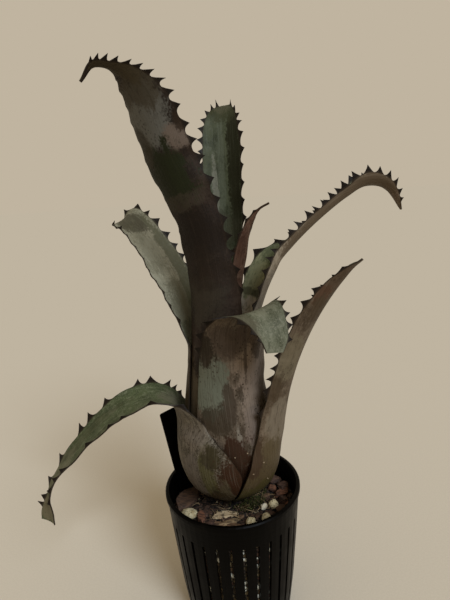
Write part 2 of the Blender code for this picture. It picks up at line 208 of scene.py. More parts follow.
def piece(mesh, name, finishes, sharp, replaces=()):
    """Turns a bmesh in millimetres into a piece in metres, sharp at edges above an angle in degrees."""
    bmesh.ops.scale(mesh, vec=(MM, MM, MM), verts=mesh.verts)
    data = bpy.data.meshes.new(name)
    mesh.to_mesh(data)
    mesh.free()
    data.shade_smooth()
    data.set_sharp_from_angle(angle=math.radians(sharp))
    for finish in finishes:
        data.materials.append(finish)
    made = bpy.data.objects.new(name, data)
    bpy.context.scene.collection.objects.link(made)
    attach(made, BODY)
    if replaces:
        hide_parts(*replaces)


def dress(node, finish):
    """Gives a node of the part a finish and keeps its shape."""
    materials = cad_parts[node].data.materials
    materials.clear()
    materials.append(finish)


# Leaves: the way each faces in degrees from the front, its layer counted inwards, the sheath as
# (height, half angle round the tube), and the blade as (reach, height, drift, half width, curl radius, turn).
LEAVES = {
    "leaf_lower_left": dict(
        azimuth=-78, layer=0,
        sheath=[(62, 70), (70, 72), (76, 76), (84, 83), (92, 88), (98, 88), (108, 79), (114, 70)],
        blade=[
            (26.9, 123, 0, 21, 25, 0), (30, 131, 0, 13, 22, -8), (38, 135, 0, 11.5, 25, -14),
            (50, 134, 0.8, 10.2, 25, -20), (61, 128.5, 1.1, 9, 22, -22), (73, 119, 0.8, 7.2, 18, -22),
            (85, 107, 0, 5.5, 12, -20), (93, 97, 0, 3, 8, -15), (97, 88, 0, 2.6, 8, -35),
            (99.5, 78, 0, 4.5, 12, -60), (100, 73, 0, 5, 12, -65),
        ],
    ),
    "leaf_lower_right": dict(
        azimuth=66, layer=0,
        sheath=[(67, 65.5), (74, 67.8), (82, 59), (90, 54), (100, 47)],
        blade=[
            (29.8, 113, 0, 18.5, 24, 0), (33, 130, 0, 15.8, 19, 0), (38.3, 149, 0.6, 14, 16, 0),
            (45.5, 166.5, 0, 13.8, 13, 0), (54, 182, -0.6, 11.8, 11, 0), (62, 193.5, 0, 8, 8, 0),
            (67, 199.5, 0, 4, 5, 0), (70.5, 202.5, 0, 0.6, 4, 0),
        ],
    ),
    "leaf_front_folded": dict(
        azimuth=27, layer=2,
        sheath=[(70, 64), (80, 68), (95, 68), (110, 69), (123, 70), (138, 70)],
        blade=[
            (20.8, 150, 0, 24, 20, 0), (21.8, 162, 0, 21.5, 21, 0), (23.4, 172, 0, 18.5, 28, 3),
            (27.5, 180, 1.2, 15.3, 55, 16), (33.5, 182, 2, 12, 70, 21), (39.5, 179, 2.3, 9.4, 60, 21),
            (43.5, 173, 2.6, 7.6, 50, 16), (45.5, 166.5, 1.5, 4.3, 40, 10),
        ],
    ),
    "leaf_left": dict(
        azimuth=-120, layer=2,
        sheath=[(70, 58), (80, 60), (93, 60), (108, 60), (123, 58), (150, 50)],
        blade=[
            (19.6, 161, 0, 15, 18.5, -2), (21.5, 172, 0, 13, 18, -14), (25.5, 185, 0, 12, 20, -26),
            (33.5, 200, 0, 11.5, 22, -30), (42, 213, 0.7, 10.4, 22, -30), (50, 221.5, 0.7, 10.3, 24, -30),
            (56, 224.5, 0.5, 9.8, 24, -30), (60, 221, 0, 3.5, 16, -30),
        ],
    ),
    "leaf_tall_front": dict(
        azimuth=-30, layer=3,
        sheath=[(72.5, 64), (82, 68), (95, 70), (110, 74), (130, 76), (150, 76), (170, 76)],
        blade=[
            (14.2, 190, 1, 17.5, 14.5, 0), (14.8, 206, -0.2, 14.2, 14.5, 0), (17, 221, -1.2, 13.8, 15, 0),
            (21, 236, -4.5, 14, 16, 0), (26, 252, -8.5, 14, 17, 0), (31, 266, -9.5, 12.5, 18, 0),
            (37, 277, -10, 9.5, 18, 0), (43, 282.4, -11, 5.6, 14, 0), (48.5, 284.8, -13.5, 2.4, 8, 0),
            (53, 285, -16.5, 1.9, 6, 0), (57, 279, -20, 0.6, 4, 0),
        ],
    ),
    "leaf_arching_right": dict(
        azimuth=100, layer=4,
        sheath=[(75, 66), (84, 68), (97, 66), (110, 62), (130, 56), (150, 52)],
        blade=[
            (18.2, 164, 0, 14.5, 16, 4), (22, 177, 1.5, 16, 17, 8), (27, 189, 2.3, 16.5, 16, 13),
            (33, 198.5, 2.3, 14, 12, 10), (40.5, 206.5, 0.3, 9, 8, -8), (50, 215, 0, 6.4, 5.5, -17),
            (60, 222.5, 0, 6.2, 5.5, -17), (71, 229.5, 0, 7, 6, -12), (81, 234, 0, 9.3, 7.2, -5),
            (90, 233, 0, 7, 6, 0), (97, 227.5, 0, 3.5, 4, 0), (101, 220.5, 0, 0.8, 3, 0),
        ],
    ),
    "leaf_upright_back": dict(
        azimuth=166, layer=5,
        sheath=[(78, 62), (88, 64), (100, 66), (115, 66), (135, 66), (168, 62)],
        blade=[
            (13.2, 184, 0, 12, 12.5, 0), (17.5, 198, -0.4, 11.5, 13, 0), (22.5, 217, -0.8, 11.3, 15, 0),
            (26, 238, -0.8, 11.3, 15, 0), (29, 258, -0.5, 11, 18, 0), (32, 270, 0, 9.6, 22, 0),
            (36, 277.5, 0, 7, 24, 0), (41, 281, 0, 3.4, 22, 0), (45, 281, 0, 1, 20, 0),
        ],
    ),
    "leaf_heart": dict(
        azimuth=55, layer=6,
        sheath=[(88, 58), (96, 62), (110, 62), (130, 62), (150, 62)],
        blade=[
            (9.8, 168, 0, 8.8, 9, 0), (11.2, 187, 0.6, 8.6, 10, 0), (14.3, 203, 1.8, 5.8, 10, 0),
            (17.8, 214, 1, 4.8, 9, 0), (21, 222, 1, 2.3, 6, 0), (24.5, 226.5, 2, 1, 3, 0),
            (29.5, 229, 3, 0.6, 3, 0),
        ],
    ),
}

# Spines: where their tips lie up each margin, left and right as seen from outside, their height, how far
# they hook back towards the base as a share of it, and how far they lean inwards on each margin. Some leaves
# have a share of that height on the right, a share that is lost at the end, and a lean of the last spines.
SPINES = {
    "leaf_lower_left": dict(
        left=[64, 72, 75, 78, 86, 91, 108.5, 119, 126, 144.5, 157, 167.5, 171],
        right=[66, 76, 89, 103, 110, 124, 143, 150, 158, 166],
        height=5.4, hook=0.4, lean=(0, 60), right_share=0.55,
    ),
    "leaf_lower_right": dict(
        left=[68, 79, 85, 91, 97.5, 117, 125, 131.5, 146],
        right=[66, 77, 88, 98, 107, 116, 124, 131, 138, 144],
        height=3.8, hook=0.5, lean=(0, 40),
    ),
    "leaf_front_folded": dict(
        left=[98, 106, 113, 118, 129, 135, 140],
        right=[97, 104, 110.5, 116, 121.5, 126, 131.5, 136, 140.5],
        height=5.4, hook=0.25, lean=(0, 0),
    ),
    "leaf_left": dict(
        left=[110, 117, 124, 130.5, 137, 143.5, 150.5, 159.5, 165, 169, 172],
        right=[108, 116, 123, 130, 137, 144, 151, 158, 164, 169],
        height=3.8, hook=0.5, lean=(0, 50), end_lean=50, fade=-0.1,
    ),
    "leaf_tall_front": dict(
        left=[128, 138, 148, 157, 166, 175, 184, 192, 200, 207, 214, 220, 226, 232],
        right=[
            122, 131, 139, 147, 154, 162, 171, 181, 191, 198, 206, 210.5, 214.5, 218.5, 221.5, 224.5, 228,
            231, 233.5, 235.5,
        ],
        height=4.4, hook=0.5, lean=(60, 0),
    ),
    "leaf_arching_right": dict(
        left=[
            106, 114.5, 122, 129, 133.5, 137.5, 144.5, 149, 156.5, 160.5, 165.5, 170.5, 178, 184, 189.5,
            194, 198, 202, 207, 211,
        ],
        right=[110, 119, 128, 137, 146, 155, 163, 171, 179, 187.5, 192.5, 198, 204, 210],
        height=4.8, hook=0.5, lean=(0, 0),
    ),
    "leaf_upright_back": dict(
        left=[138, 146, 155, 164, 173, 181, 189, 195, 199.5, 203.5, 207.5],
        right=[140, 149, 158, 167, 175, 182, 188.5, 194, 198.5, 202.5, 206, 209.5],
        height=3.2, hook=0.2, lean=(0, 0), end_lean=70, fade=-0.5,
    ),
    "leaf_heart": dict(
        left=[104, 113, 122, 130, 136.5, 141],
        right=[108, 117, 125, 132, 138, 143],
        height=2.8, hook=0.2, lean=(0, 0),
    ),
}


def tube_radius(height, layer):
    """The radius of the sheaths' tube at a height, for a leaf that lies some layers further in."""
    heights, radii = zip(*TUBE)
    return float(np.interp(height, heights, radii)) - SHEATH_SPACING * layer


def tube_back(height):
    """How far the tube's middle lies behind the pot's: the plant leans forward from its foot."""
    rise = np.clip((height - MIX_TOP) / (TUBE_UPRIGHT - MIX_TOP), 0, 1)
    return FOOT_BACK * (1 - rise * rise * (3 - 2 * rise))


def smooth_through(knots, values, at):
    """Cubic curves through the values at the knots, with the slope of their neighbours."""
    slope = np.gradient(values, knots, axis=0)
    i = np.clip(np.searchsorted(knots, at, side="right") - 1, 0, len(knots) - 2)
    span = (knots[i + 1] - knots[i])[:, None]
    x = (at - knots[i])[:, None] / span
    start = (2 * x**3 - 3 * x**2 + 1) * values[i] + (x**3 - 2 * x**2 + x) * span * slope[i]
    return start + (3 * x**2 - 2 * x**3) * values[i + 1] + (x**3 - x**2) * span * slope[i + 1]


def unit(rows):
    return rows / np.linalg.norm(rows, axis=1)[:, None]


def sheath_rows(layer, sheath):
    """Rows that wrap the tube, at heights that all the leaves share, so that one sheath nests in the next."""
    heights, angles = zip(*sheath)
    shared = [z for z in SHEATH_HEIGHTS if heights[0] + 2 < z < heights[-1] - 2]
    rows = []
    for z in [heights[0]] + shared + [heights[-1]]:
        radius = tube_radius(z, layer)
        rows.append((radius, z, 0, radius * math.radians(np.interp(z, heights, angles)), radius, 0))
    return rows


class Leaf:
    """The outer face of a leaf: s runs from its foot to its tip in millimetres, v from -1 to 1 across it."""

    SAMPLES = 500

    def __init__(self, azimuth, layer, sheath, blade):
        facing = math.radians(azimuth)
        out = np.array([math.sin(facing), -math.cos(facing), 0])
        side = np.array([math.cos(facing), math.sin(facing), 0])
        wrapped = sheath_rows(layer, sheath)
        rows = np.array(wrapped + blade, float)
        spots = rows[:, :1] * out + rows[:, 2:3] * side + rows[:, 1:2] * np.array([0, 0, 1])
        spots[:, 1] += [tube_back(z) for z in rows[:, 1]]
        knots = np.append(0, np.cumsum(np.linalg.norm(np.diff(spots, axis=0), axis=1)))
        self.length = knots[-1]
        self.sheath_end, self.blade_start = knots[len(wrapped) - 1], knots[len(wrapped)]
        self.s = np.linspace(0, self.length, self.SAMPLES)
        self.path = smooth_through(knots, spots, self.s)
        self.half_width, self.curl, turn = smooth_through(knots, rows[:, 3:], self.s).T
        self.along = unit(np.gradient(self.path, self.s, axis=0))
        across = self.carried(side)
        inward = np.cross(self.along, across)
        inward *= np.sign(inward[0] @ -out)
        # Sections lie level in the sheath, so that sheaths nest, and square to the blade above it
        free = self.freedom(self.s)[:, None]
        across = unit(side * (1 - free) + across * free)
        inward = inward * free - out * (1 - free)
        inward = unit(inward - (inward * across).sum(1)[:, None] * across)
        turn = np.radians(turn)[:, None]
        self.across = np.cos(turn) * across + np.sin(turn) * inward
        self.inward = np.cos(turn) * inward - np.sin(turn) * across

    def freedom(self, s):
        """0 in the sheath and 1 in the blade."""
        free = np.clip((s - self.sheath_end) / (self.blade_start - self.sheath_end), 0, 1)
        return free * free * (3 - 2 * free)

    def carried(self, across):
        """The crosswise direction, carried up the path without spinning about it."""
        rows = []
        for along in self.along:
            across = across - across @ along * along
            across = across / np.linalg.norm(across)
            rows.append(across)
        return np.array(rows)

    def read(self, values, s):
        """What the sampled values are at places along the leaf."""
        return np.stack([np.interp(s, self.s, column) for column in np.atleast_2d(values.T)], axis=-1)

    def points(self, s, v, push, shift, depth, lean):
        """Points for arrays of places: pushed out past the margin, where the push leans inwards by an angle,
        shifted towards the tip and sunk inwards."""
        curl = self.read(self.curl, s)
        angle = v[..., None] * self.read(self.half_width, s) / curl
        across, inward = self.read(self.across, s), self.read(self.inward, s)
        leant = angle + np.sign(v)[..., None] * lean
        rim = (np.cos(leant) * across + np.sin(leant) * inward) * np.sign(v)[..., None]
        sunk = np.cos(angle) * inward - np.sin(angle) * across
        place = self.read(self.path, s) + curl * (np.sin(angle) * across + (1 - np.cos(angle)) * inward)
        place = place + push[..., None] * rim + shift[..., None] * self.read(self.along, s)
        return place + depth[..., None] * sunk


# The grid of a leaf: places across it, and the space between rows in the sheath, the blade and along spines
HALF_ACROSS = (0.13, 0.26, 0.39, 0.52, 0.64, 0.75, 0.84, 0.91, 0.96, 1)
ACROSS = np.array([-v for v in reversed(HALF_ACROSS)] + [0] + list(HALF_ACROSS))
SHEATH_ROW, BLADE_ROW, SPINED_ROW = 2.5, 1.6, 0.42

# How a spine rises from the margin: its foot's share of the gaps below and above it, the widest gap that
# counts, how hollow its sides are, how unequal spines are, and what the column beside the margin takes of it
LOWER_SHARE, UPPER_SHARE = 0.72, 0.24
WIDEST_GAP = 9
HOLLOWNESS = 2.1
UNEQUAL = 0.12
FOOT_PUSH, FOOT_SHIFT = 0.12, 0.3
# How far below the leaf's tip spines begin to fade, begin to lean over and have leant
FADING = 24
LEAN_FROM, LEAN_TO = 16, 8

# The waves of the margins: their height and two lengths, over 2 pi. The ribs between the veins: their height,
# and how many radians of them lie from the middle of the leaf to its margin
RIPPLE = 0.28
SHORT_WAVE, LONG_WAVE = 2.9, 5.3
RIB = 0.1
RIB_WAVES = 21


def spine_roots(tips, height, hook, length, fade):
    """Where each spine stands, further up than its hooked tip, and its height, which fades at the end."""
    roots = []
    for i, tip in enumerate(tips):
        near_end = max(0, 1 - (length - tip) / FADING)
        stands = height * (1 - fade * near_end) * (1 - UNEQUAL + UNEQUAL * math.sin(5 * i + height))
        roots.append((min(tip + hook * stands, length - 1), stands))
    return roots


def spine_outline(s, roots, hook):
    """How far the margin stands out, and how far it hooks back, for each row: a scallop below each spine."""
    push, shift = np.zeros_like(s), np.zeros_like(s)
    places = [root for root, stands in roots]
    below = np.diff([places[0] - WIDEST_GAP] + places)
    above = np.diff(places + [places[-1] + below[-1]])
    for (root, stands), gap_below, gap_above in zip(roots, below, above):
        lower = LOWER_SHARE * min(gap_below, WIDEST_GAP)
        upper = UPPER_SHARE * min(gap_above, WIDEST_GAP)
        base = np.where(s < root, lower, upper)
        rise = stands * np.clip(1 - np.abs(s - root) / base, 0, 1) ** HOLLOWNESS
        shift = np.where(rise > push, -hook * rise, shift)
        push = np.maximum(push, rise)
    return push, shift


def leaf_rows(leaf, roots):
    """Where the rows of the grid lie: close together along the spines, and one at each spine's point."""
    spined_from = min(roots) - WIDEST_GAP * LOWER_SHARE
    rows = list(np.arange(0, min(leaf.sheath_end, spined_from), SHEATH_ROW))
    rows += list(np.arange(rows[-1] + BLADE_ROW, spined_from, BLADE_ROW))
    for s in np.arange(spined_from, leaf.length, SPINED_ROW):
        if min(abs(s - root) for root in roots) > SPINED_ROW * 0.4:
            rows.append(s)
    return np.array(sorted(rows + roots + [leaf.length]))


def spined_grid(leaf, left, right, height, hook, lean, right_share=1, fade=0.6, end_lean=0):
    """Places along and across the leaf, how far spines push and shift them, and how far spines lean there."""
    sides = [
        spine_roots(left, height, hook, leaf.length, fade),
        spine_roots(right, height * right_share, hook, leaf.length, fade),
    ]
    rows = leaf_rows(leaf, [root for side in sides for root, stands in side])
    s, v = np.meshgrid(rows, ACROSS, indexing="ij")
    push, shift = np.zeros_like(s), np.zeros_like(s)
    for roots, column, beside in zip(sides, (0, -1), (1, -2)):
        push[:, column], shift[:, column] = spine_outline(rows, roots, hook)
        # The next column leans out a little, so that each spine has a broad foot
        push[:, beside] = push[:, column] * FOOT_PUSH
        shift[:, beside] = shift[:, column] * FOOT_SHIFT
    at_end = np.clip((s - leaf.length + LEAN_FROM) / (LEAN_FROM - LEAN_TO), 0, 1)
    leans = np.where(v < 0, lean[0], lean[1]) + end_lean * at_end
    return s, v, push, shift, np.radians(leans)[..., None]


def leaf_faces(leaf, s, v, push, shift, lean, height):
    """Places on the outer and inner face: ribbed, waved towards the margins, thin at the spines' points."""
    free = leaf.freedom(s)
    waves = np.sin(s / SHORT_WAVE + 2 * v) + 0.6 * np.sin(s / LONG_WAVE + 4 * v)
    ripple = RIPPLE * free * v**2 * waves
    rib = RIB * free * np.cos(v * RIB_WAVES) * (1 - v**2)
    depth = MIDRIB_THICKNESS + (MARGIN_THICKNESS - MIDRIB_THICKNESS) * v**2
    depth = depth + (TIP_THICKNESS - depth) * np.clip(push / height, 0, 1) ** 0.7
    return [leaf.points(s, v, push, shift, ripple + rib + sunk, lean) for sunk in (0, depth)]


def build_leaf(name, leaf, spines, finishes):
    """A grid bent to the leaf's outer face and extruded to its inner one. Each point keeps its place on the
    leaf: how far across it is, how far along, and how far outside the margin."""
    s, v, push, shift, lean = spined_grid(leaf, **spines)
    outer, inner = leaf_faces(leaf, s, v, push, shift, lean, spines["height"])
    width = leaf.read(leaf.half_width, s)[..., 0]
    across = v * width + push * np.sign(v)
    reach = (np.abs(v) - 1) * width + push
    spots = np.stack([across, s + shift, reach], axis=-1)

    mesh = bmesh.new()
    spot = mesh.verts.layers.float_vector.new("leaf_place")
    last_row, last_column = len(s) - 1, len(ACROSS) - 1
    bmesh.ops.create_grid(mesh, x_segments=last_column, y_segments=last_row, size=1)
    outer_verts = list(mesh.verts)
    made = bmesh.ops.extrude_face_region(mesh, geom=list(mesh.faces), use_keep_orig=True)["geom"]
    inner_verts = [item for item in made if isinstance(item, bmesh.types.BMVert)]
    for face in made:
        if isinstance(face, bmesh.types.BMFace):
            face.material_index = 1
    for verts, places in ((outer_verts, outer), (inner_verts, inner)):
        for vert in verts:
            row = round((vert.co.y + 1) / 2 * last_row)
            column = round((vert.co.x + 1) / 2 * last_column)
            vert.co = places[row, column]
            vert[spot] = Vector(spots[row, column])
    face_outwards(mesh)
    new_name = name.replace("leaf_", "") + "_leaf"
    piece(mesh, new_name, finishes, sharp=50, replaces=[name])


# The skin on each face of a leaf, with colours as a screen shows them. Band, streak, freckle and dust say how
# strong those marks are. A patch has its place along and across the leaf in millimetres, its half length and
# half width, its colour and how strong it is.
SKINS = {
    "leaf_lower_left_outer": dict(
        ground=(86, 78, 65), shade=(38, 30, 17), frost=(120, 112, 98),
        band=0.2, streak=0.6, freckle=0.9, dust=0.8,
        patches=[
            (34, 15, 24, 8, (90, 82, 74), 0.9), (40, 25, 22, 5, (72, 68, 42), 1),
            (24, 27, 10, 3, (38, 32, 18), 0.9), (55, 29, 8, 6, (50, 44, 26), 1),
            (36, 37, 26, 7, (50, 29, 15), 1), (28, 33, 14, 3, (72, 64, 46), 0.9),
            (17, 30, 13, 16, (52, 41, 22), 0.9), (8, 12, 8, 16, (50, 40, 26), 0.9),
            (62, 16, 7, 8, (100, 90, 78), 0.8),
        ],
    ),
    "leaf_lower_left_inner": dict(
        ground=(68, 75, 47), shade=(42, 48, 26), frost=(116, 117, 92),
        band=0.25, streak=0.45, freckle=0.5,
        patches=[
            (70, -4, 14, 9, (88, 84, 66), 0.7), (150, 0, 14, 8, (108, 102, 80), 0.5),
            (120, -3, 22, 3, (60, 58, 38), 0.5), (172, 0, 9, 7, (104, 94, 72), 0.8),
        ],
    ),
    "leaf_lower_right_outer": dict(
        ground=(86, 72, 56), shade=(50, 38, 24), frost=(120, 106, 88),
        band=0.3, streak=0.5, freckle=0.7, dust=0.3,
        patches=[
            (141, -5, 10, 6, (74, 58, 42), 0.8), (131, -7, 6, 5, (72, 50, 34), 0.9),
            (124, -4, 8, 6, (66, 53, 37), 0.9), (96, -8, 14, 8, (104, 95, 74), 0.6),
            (112, 0, 7, 6, (96, 84, 68), 0.7), (80, -12, 8, 5, (58, 45, 28), 0.8),
            (62, -3, 14, 10, (112, 102, 86), 0.6), (35, -10, 12, 12, (60, 47, 30), 0.8),
            (36, -14, 18, 18, (72, 60, 38), 0.9), (17, -14, 12, 18, (64, 57, 27), 0.95),
            (48, -21, 16, 6, (56, 40, 26), 0.9), (8, -8, 9, 20, (52, 52, 22), 0.9),
        ],
    ),
    "leaf_lower_right_inner": dict(
        ground=(84, 88, 66), shade=(58, 62, 42), frost=(120, 120, 98),
        band=0.25, streak=0.35, freckle=0.3,
    ),
    "leaf_front_folded_outer": dict(
        ground=(90, 77, 63), shade=(44, 34, 22), frost=(108, 99, 85),
        band=0.2, streak=0.7, freckle=1, dust=0.3,
        patches=[
            (84, 9, 30, 15, (118, 103, 89), 0.9), (108, 8, 9, 12, (80, 67, 55), 0.9),
            (82, -19, 18, 11, (90, 92, 78), 1), (63, -16, 8, 10, (42, 34, 22), 0.85),
            (72, -8, 10, 3, (54, 44, 33), 0.9), (104, -8, 9, 12, (62, 50, 40), 0.8),
            (99, -19, 9, 5, (36, 28, 17), 1), (97, 8, 5, 4, (60, 50, 40), 0.8),
            (58, 5, 12, 9, (104, 91, 80), 0.9), (53, -6, 9, 2, (110, 102, 90), 0.9),
            (44, -8, 13, 8, (44, 25, 12), 1), (26, -6, 14, 14, (38, 20, 8), 1),
            (100, 1, 20, 1, (64, 53, 43), 0.8),
        ],
    ),
    "leaf_front_folded_inner": dict(
        ground=(90, 91, 72), shade=(58, 60, 42), frost=(124, 122, 104),
        band=0.3, streak=0.4, freckle=0.7,
        patches=[
            (128, -9, 10, 4, (72, 66, 50), 0.7), (123, 2, 6, 8, (116, 114, 94), 0.5),
        ],
    ),
    "leaf_left_outer": dict(
        ground=(65, 55, 43), shade=(33, 25, 14), frost=(96, 88, 76),
        band=0.3, streak=0.5, freckle=0.5,
        patches=[(60, 0, 40, 22, (64, 54, 39), 0.85)],
    ),
    "leaf_left_inner": dict(
        ground=(135, 131, 111), shade=(100, 97, 78), frost=(150, 147, 128),
        band=0.3, streak=0.45, freckle=0.5,
        patches=[
            # The first patch is painted shade on the tip, where it curls back
            (166, -1, 9, 9, (60, 56, 40), 0.9), (112, 0, 16, 10, (86, 84, 66), 0.7),
            # The first patch is painted shade along the curled margin
            (132, -8, 40, 3.5, (84, 83, 62), 0.9), (147, 2, 14, 5, (118, 116, 98), 0.6),
            (94, 4, 12, 10, (70, 72, 50), 0.8),
        ],
    ),
    "leaf_tall_front_outer": dict(
        ground=(37, 25, 16), shade=(17, 10, 4), frost=(78, 66, 54),
        band=0.15, streak=0.2, freckle=0.5, dust=0.08,
        patches=[
            (204, -1, 17, 13, (86, 84, 77), 1), (195, 9, 7, 5, (94, 81, 70), 0.9),
            (178, -2, 17, 13, (25, 28, 7), 1), (217, 0, 9, 12, (58, 51, 38), 0.8),
            (228, 2, 9, 8, (60, 52, 36), 0.8), (194, -8, 8, 5, (44, 38, 24), 0.8),
            (150, 0, 14, 16, (22, 14, 7), 0.9), (118, -4, 12, 14, (46, 40, 30), 0.8),
            (66, -14, 22, 11, (78, 69, 55), 0.9), (201, 12, 5, 3, (40, 28, 16), 0.9),
            (167, 0, 4, 14, (58, 49, 39), 0.5), (135, 0, 10, 16, (30, 21, 12), 0.7),
        ],
    ),
    "leaf_tall_front_inner": dict(
        ground=(112, 108, 88), shade=(84, 80, 62), frost=(140, 134, 114),
        band=0.2, streak=0.3, freckle=0.2,
        patches=[(160, 0, 60, 16, (66, 66, 48), 0.6)],
    ),
    "leaf_arching_right_outer": dict(
        ground=(124, 111, 92), shade=(76, 63, 47), frost=(150, 137, 117),
        band=0.35, streak=0.5, freckle=0.5,
        patches=[
            (196, 0, 14, 9, (46, 36, 22), 0.85), (212, 0, 8, 6, (104, 90, 76), 0.7),
            (110, -4, 16, 14, (86, 78, 66), 0.7), (206, 0, 6, 7, (112, 96, 82), 0.9),
            (168, 0, 44, 12, (84, 70, 53), 0.95),
        ],
    ),
    "leaf_arching_right_inner": dict(
        ground=(98, 100, 74), shade=(64, 67, 45), frost=(120, 118, 96),
        band=0.35, streak=0.35, freckle=0.3,
        patches=[
            (124, 8, 12, 8, (84, 88, 60), 0.8), (113, 5, 6, 10, (80, 76, 58), 0.6),
            # The second patch is partly the sheath's own pale colour, partly painted light that offsets the
            # shade on the inner face there
            (128, -4, 8, 5, (58, 52, 40), 0.7), (104, 11, 6, 10, (176, 164, 146), 0.9),
            # The first patch likewise is partly the leaf's own colour, partly painted light against the shade
            # there
            (118, 12, 10, 9, (134, 132, 98), 0.9), (111, 6, 2, 12, (60, 58, 38), 0.7),
        ],
    ),
    "leaf_upright_back_outer": dict(
        ground=(58, 52, 40), shade=(36, 30, 20), frost=(90, 84, 70),
        band=0.4, streak=0.5, freckle=0.5,
    ),
    "leaf_upright_back_inner": dict(
        ground=(67, 71, 51), shade=(36, 40, 24), frost=(100, 101, 85),
        band=0.1, streak=0.4, freckle=0.3, dust=0.15,
        patches=[
            # The first patch is a painted shadow down the shaded side of the channel, the second a painted
            # highlight down its middle
            (180, -7.5, 70, 4.6, (30, 30, 13), 1), (172, 1, 40, 2.2, (78, 82, 66), 0.7),
            (207, 0, 10, 12, (50, 51, 30), 0.85), (156, 5, 24, 2, (116, 114, 100), 0.6),
            (140, 0, 12, 10, (46, 44, 30), 0.6), (208, 0, 6, 7, (74, 70, 52), 0.5),
        ],
    ),
    "leaf_heart_outer": dict(
        ground=(88, 64, 50), shade=(46, 30, 21), frost=(104, 84, 68),
        band=0.3, streak=0.5, freckle=0.4,
        patches=[(122, -3, 12, 4, (56, 34, 24), 0.6)],
    ),
    "leaf_heart_inner": dict(
        ground=(70, 48, 36), shade=(48, 32, 22), frost=(96, 80, 66),
        band=0.2, streak=0.4, freckle=0.2,
    ),
}
MARGIN_TONE = tone(30, 20, 9)
SPINE_TONE = tone(20, 12, 5)

# How often the marks of a skin come in a millimetre across and along the leaf
MOTTLE, BLOTCH, BANDS = (0.14, 0.09, 0), (0.5, 0.26, 0), (0.06, 0.2, 0)
GRAIN, SCURF, VEIN, FLECK = (1.1, 0.8, 0), (3.2, 2.2, 0), (1.9, 0.045, 0), (0.75, 0.55, 0)


def leaf_skin(name, ground, shade, frost, band, streak, freckle, patches=(), dust=0.5):
    """Scurfy leaf skin: mottled, banded, streaked lengthwise and patched, with dark margins and spines."""
    skin = Finish(name, specular=0.16, attribute="leaf_place")
    seed = float(sum(name.encode()) % 97)
    reach = skin.coordinate("Z")
    mottle = skin.cloud(MOTTLE, detail=4, seed=seed, warp=0.4)
    grain = skin.cloud(GRAIN, detail=3, seed=seed + 7)
    vein = skin.cloud(VEIN, detail=3, seed=seed + 3)
    bands = skin.cloud(BANDS, detail=2, seed=seed + 5, warp=0.8)
    scurf = skin.cloud(SCURF, detail=2, seed=seed + 11)
    fleck = skin.cells(FLECK, seed=seed + 13)
    blotch = skin.cloud(BLOTCH, detail=4, seed=seed + 17, warp=0.5)
    ground, shade, frost = tone(*ground), tone(*shade), tone(*frost)

    colour = skin.blend(ground, shade, skin.rise(mottle, 0.44, 0.68, 0, 0.75))
    colour = skin.blend(colour, frost, skin.rise(bands + (grain - 0.5) * 0.3, 0.5, 0.74, 0, band))
    colour = skin.blend(colour, shade, skin.rise(blotch, 0.54, 0.64, 0, 0.15 + 0.8 * dust))
    colour = skin.blend(colour, frost, skin.rise(blotch, 0.43, 0.34, 0, 0.1 + 0.6 * dust))
    dusting = skin.rise(scurf, 0.5, 0.6, 0, dust) * skin.rise(grain, 0.42, 0.56)
    colour = skin.blend(colour, frost, dusting)
    wobble = (mottle - 0.5) * 1.8 + (grain - 0.5) * 0.9
    worn = skin.rise(blotch, 0.52, 0.68, 0, 0.2 + 0.4 * dust)
    for along, across, half_length, half_width, patch_tone, strength in patches:
        away = skin.vector("SUBTRACT", skin.place, (across, along, 0))
        away = skin.vector("MULTIPLY", away, (1 / half_width, 1 / half_length, 0))
        share = skin.rise(skin.length(away) + wobble, 1.15, 0.75, 0, strength)
        colour = skin.blend(colour, skin.blend(tone(*patch_tone), shade, worn), share)
    colour = skin.blend(colour, shade, skin.rise(vein, 0.5, 0.75, 0, streak * 0.8))
    colour = skin.blend(colour, frost, skin.rise(vein, 0.46, 0.28, 0, streak * 0.35))
    dark_flecks = skin.rise(fleck, 0.3, 0.16, 0, freckle) * skin.rise(mottle, 0.44, 0.58)
    colour = skin.blend(colour, shade, dark_flecks)
    margin = skin.rise(reach + (grain - 0.5) * 0.5, -0.35, 0)
    colour = skin.blend(colour, MARGIN_TONE, margin * 0.85)
    colour = skin.blend(colour, SPINE_TONE, skin.rise(reach, 0.1, 1.1))
    height = vein * 0.6 + grain * 0.5 + scurf * 0.25
    roughness = skin.rise(grain, 0.3, 0.7, 0.5, 0.68)
    return skin.done(colour, roughness, height, depth=0.22)


def build_leaves():
    """Each leaf in place of the part's."""
    for name, design in LEAVES.items():
        faces = [f"{name}_{side}" for side in ("outer", "inner")]
        finishes = [leaf_skin(face, **SKINS[face]) for face in faces]
        build_leaf(name, Leaf(**design), SPINES[name], finishes)


def pot_outer(height):
    """Outer radius of the pot below its lip."""
    return BASE_RADIUS + (BAND_RADIUS - BASE_RADIUS) * (height / (POT_HEIGHT - LIP_HEIGHT)) ** 0.8


def turned(profile, steps):
    """A solid turned round Z from (radius, height) points that start and end on the axis."""
    mesh = bmesh.new()
    verts = [mesh.verts.new((radius, 0, height)) for radius, height in profile]
    edges = [mesh.edges.new(pair) for pair in zip(verts, verts[1:])]
    bmesh.ops.spin(
        mesh, geom=verts + edges, cent=(0, 0, 0), axis=(0, 0, 1), angle=math.tau, steps=steps, use_merge=True
    )
    bmesh.ops.remove_doubles(mesh, verts=mesh.verts, dist=1e-4)
    face_outwards(mesh)
    return mesh


